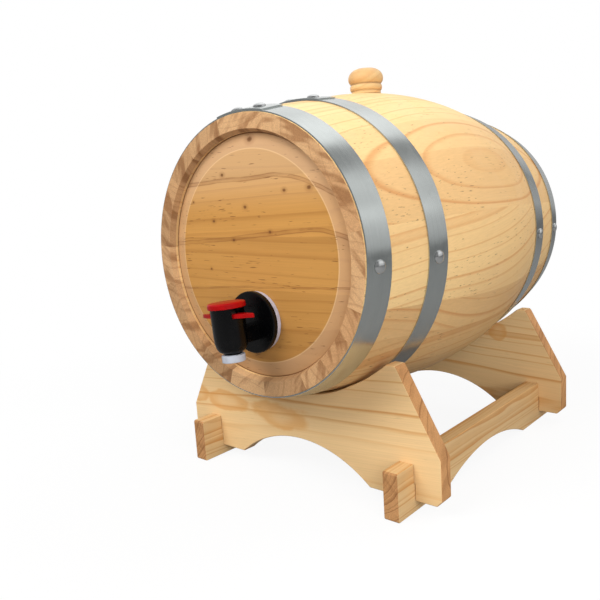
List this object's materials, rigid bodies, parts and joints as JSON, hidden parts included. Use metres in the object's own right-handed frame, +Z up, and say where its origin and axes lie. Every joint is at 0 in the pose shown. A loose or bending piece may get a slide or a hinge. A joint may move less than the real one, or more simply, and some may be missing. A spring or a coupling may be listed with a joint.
{
  "type": "cask drinks dispenser",
  "caption": "Small wooden cask lying on a cradle, with steel hoops, a bung, a rear door and a lift tap that drains a soft bag inside.",
  "frame": {"origin": "middle of the assembly's footprint, on the floor", "axes": "+Z up; -Y is the front, where the tap points; +X is the right-hand side seen from the front"},
  "size_m": [0.2466, 0.3432, 0.3175],
  "materials": {
    "stave_pine": "planed pale pine, satin oil",
    "head_pine": "planed golden pine, satin oil",
    "cradle_pine": "planed pine, raw",
    "hoop_steel": "galvanised, satin",
    "stud_steel": "domed, bright",
    "bag_film": "metallised film, crumpled",
    "white_plastic": "moulded, satin",
    "black_plastic": "moulded, semi-gloss",
    "red_plastic": "moulded, semi-gloss",
    "seal_rubber": "soft, matt"
  },
  "bodies": {
    "cradle": {"cradle_board_front": "cradle_pine", "cradle_board_rear": "cradle_pine", "cradle_rail_left": "cradle_pine", "cradle_rail_right": "cradle_pine"},
    "cask": {"stave_01": "stave_pine", "stave_02": "stave_pine", "stave_03": "stave_pine", "stave_04": "stave_pine", "stave_05": "stave_pine", "stave_06": "stave_pine", "stave_07": "stave_pine", "stave_08": "stave_pine", "stave_09": "stave_pine", "stave_10": "stave_pine", "stave_11": "stave_pine", "stave_12": "stave_pine", "stave_13": "stave_pine", "stave_14": "stave_pine", "stave_15": "stave_pine", "stave_16": "stave_pine", "stave_17": "stave_pine", "stave_18": "stave_pine", "head_board_1": "head_pine", "head_board_2": "head_pine", "head_board_3": "head_pine", "head_board_4": "head_pine", "head_board_5": "head_pine", "head_dowels": "cradle_pine", "hoop_1": "hoop_steel", "hoop_2": "hoop_steel", "hoop_3": "hoop_steel", "hoop_4": "hoop_steel", "hoop_nails": "stud_steel", "hoop_rivets": "stud_steel", "rear_ring": "head_pine", "bag": "bag_film", "gland": "white_plastic", "gland_collar": "white_plastic"},
    "bung": {"bung": "stave_pine"},
    "door": {"door_board_1": "head_pine", "door_board_2": "head_pine", "door_board_3": "head_pine", "door_batten": "cradle_pine", "door_screws": "stud_steel"},
    "tap": {"tap_body": "black_plastic", "tap_cap": "red_plastic", "outlet_ring": "white_plastic", "tap_seal": "seal_rubber", "return_dome": "seal_rubber"},
    "lever": {"lever": "red_plastic", "valve_seal": "seal_rubber"}
  },
  "joints": [
    {"name": "cask_lift", "type": "slide", "parent": "cradle", "child": "cask", "axis": [0, 0, 1], "range_m": [0, 0.12]},
    {"name": "bung_pull", "type": "slide", "parent": "cask", "child": "bung", "axis": [0, 0, 1], "range_m": [0, 0.03]},
    {"name": "door_pull", "type": "slide", "parent": "cask", "child": "door", "axis": [0, 1, 0], "range_m": [0, 0.06]},
    {"name": "tap_swivel", "type": "hinge", "parent": "cask", "child": "tap", "pos_m": [0, -0.1299, 0.132], "axis": [0, 1, 0], "range_deg": [-90, 90]},
    {"name": "lever_lift", "type": "slide", "parent": "tap", "child": "lever", "axis": [-0.0872, 0, 0.9962], "range_m": [0, 0.0036], "stiffness_N_per_m": 900, "springref_m": -0.002, "deforming": ["return_dome"]}
  ]
}
